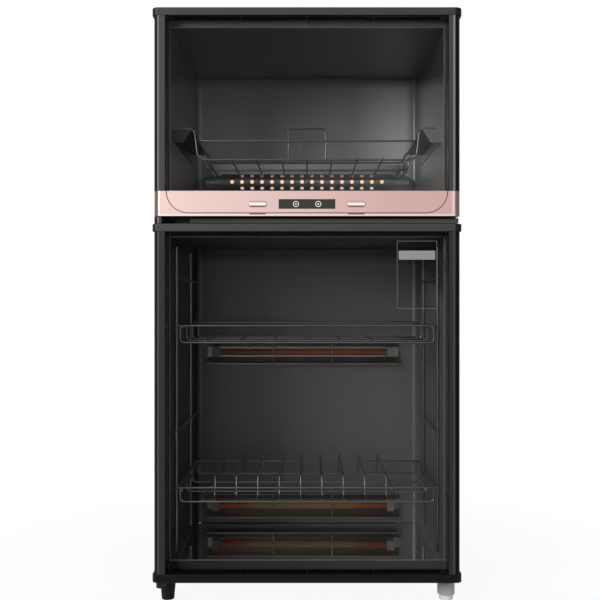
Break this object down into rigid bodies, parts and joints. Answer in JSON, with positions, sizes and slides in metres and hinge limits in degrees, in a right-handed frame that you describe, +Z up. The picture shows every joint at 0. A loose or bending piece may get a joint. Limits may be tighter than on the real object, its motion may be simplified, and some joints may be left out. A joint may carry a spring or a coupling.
{
  "type": "dish sterilizer cabinet",
  "caption": "Free-standing dish sterilizer cabinet with an upper and a lower glass door, a control band, stainless rooms, a wire basket, wire racks and quartz heaters.",
  "frame": {"origin": "on the floor under the middle of the cabinet, halfway between the doors' face and the back panel's raised field", "axes": "+Z up, -Y out of the front with the doors, +X to the viewer's right when facing the doors"},
  "size_m": [0.435, 0.36, 0.8455],
  "materials": {
    "body_paint": "satin dark grey paint on sheet steel",
    "zinc_sheet": "plain zinc-coated sheet",
    "stainless": "polished stainless sheet, almost a mirror",
    "rail_paint": "satin mid grey",
    "mineral_mat": "soft off-white mineral mat",
    "dark_plastic": "satin black moulding",
    "rubber": "matt black",
    "quartz": "quartz tube that glows yellow to orange",
    "ceramic": "unglazed white",
    "wire": "chromed round wire",
    "heater_black": "black heat-proof coating",
    "inner_plastic": "plain white plastic",
    "circuit": "green circuit board",
    "tinted_glass": "grey-tinted toughened glass",
    "trim_aluminium": "dark anodised, satin with a bright corner highlight",
    "magnet": "plain dark",
    "rose_gold": "metallic rose-gold lacquer",
    "window_plastic": "smoked clear window",
    "button_chrome": "polished, faintly pink",
    "foot_plastic": "light grey moulding"
  },
  "bodies": {
    "cabinet": {"outer_wrap": "body_paint", "base_plate": "body_paint", "back_panel": "zinc_sheet", "top_hinge_plate": "zinc_sheet", "middle_hinge_plate": "zinc_sheet", "bottom_hinge_plate": "zinc_sheet", "upper_heater_bracket": "zinc_sheet", "upper_liner": "stainless", "lower_liner": "stainless", "low_heater_reflector": "stainless", "mid_heater_reflector": "stainless", "basket_ledges": "stainless", "centre_rail": "rail_paint", "insulation": "mineral_mat", "hinge_cover": "dark_plastic", "cord_gland": "dark_plastic", "rubber_feet": "rubber", "low_heater_tube": "quartz", "mid_heater_tube": "quartz", "upper_heater_tube": "quartz", "heater_holders": "ceramic", "heater_guard_wires": "wire", "rack_ladders": "wire", "upper_heater_guard": "heater_black", "upper_heater_caps": "heater_black", "ozone_generator": "inner_plastic", "thermal_cutouts": "inner_plastic", "door_switches": "inner_plastic", "power_board": "circuit"},
    "upper_door": {"upper_door_glass": "tinted_glass", "upper_door_left_trim": "trim_aluminium", "upper_door_right_trim": "trim_aluminium", "upper_door_top_cap": "dark_plastic", "upper_door_seal": "rubber", "upper_door_magnet": "magnet", "control_band": "rose_gold", "band_insert": "rose_gold", "band_cover": "dark_plastic", "display_window": "window_plastic", "display_board": "circuit"},
    "lower_door": {"lower_door_glass": "tinted_glass", "lower_door_left_trim": "trim_aluminium", "lower_door_right_trim": "trim_aluminium", "lower_door_top_cap": "dark_plastic", "lower_door_bottom_cap": "dark_plastic", "lower_door_seal": "rubber", "lower_door_magnet": "magnet"},
    "left_button": {"left_button": "button_chrome"},
    "right_button": {"right_button": "button_chrome"},
    "upper_basket": {"upper_basket": "wire"},
    "upper_rack": {"upper_rack": "wire"},
    "lower_rack": {"lower_rack": "wire"},
    "levelling_pad": {"levelling_pad": "foot_plastic"},
    "levelling_knob": {"levelling_knob": "foot_plastic"}
  },
  "joints": [
    {"name": "upper_door_hinge", "type": "hinge", "parent": "cabinet", "child": "upper_door", "pos_m": [-0.207, -0.166, 0.5505], "axis": [0, 0, -1], "range_deg": [0, 110]},
    {"name": "lower_door_hinge", "type": "hinge", "parent": "cabinet", "child": "lower_door", "pos_m": [-0.207, -0.166, 0.037], "axis": [0, 0, -1], "range_deg": [0, 110]},
    {"name": "left_button_press", "type": "slide", "parent": "upper_door", "child": "left_button", "axis": [0, 1, 0], "range_m": [0, 0.0012], "stiffness_N_per_m": 1500},
    {"name": "right_button_press", "type": "slide", "parent": "upper_door", "child": "right_button", "axis": [0, 1, 0], "range_m": [0, 0.0012], "stiffness_N_per_m": 1500},
    {"name": "basket_slide", "type": "slide", "parent": "cabinet", "child": "upper_basket", "axis": [0, -1, 0], "range_m": [0, 0.03]},
    {"name": "upper_rack_slide", "type": "slide", "parent": "cabinet", "child": "upper_rack", "axis": [0, -1, 0], "range_m": [0, 0.03]},
    {"name": "lower_rack_slide", "type": "slide", "parent": "cabinet", "child": "lower_rack", "axis": [0, -1, 0], "range_m": [0, 0.03]},
    {"name": "pad_height", "type": "slide", "parent": "cabinet", "child": "levelling_pad", "axis": [0, 0, 1], "range_m": [-0.003, 0.003]},
    {"name": "knob_turn", "type": "hinge", "parent": "levelling_pad", "child": "levelling_knob", "pos_m": [0.2018, -0.133, 0.02], "axis": [0, 0, 1], "range_deg": [-720, 720]}
  ],
  "couplings": [
    {"joint": "pad_height", "follows": "knob_turn", "m_per_rad": 0.00023873}
  ]
}
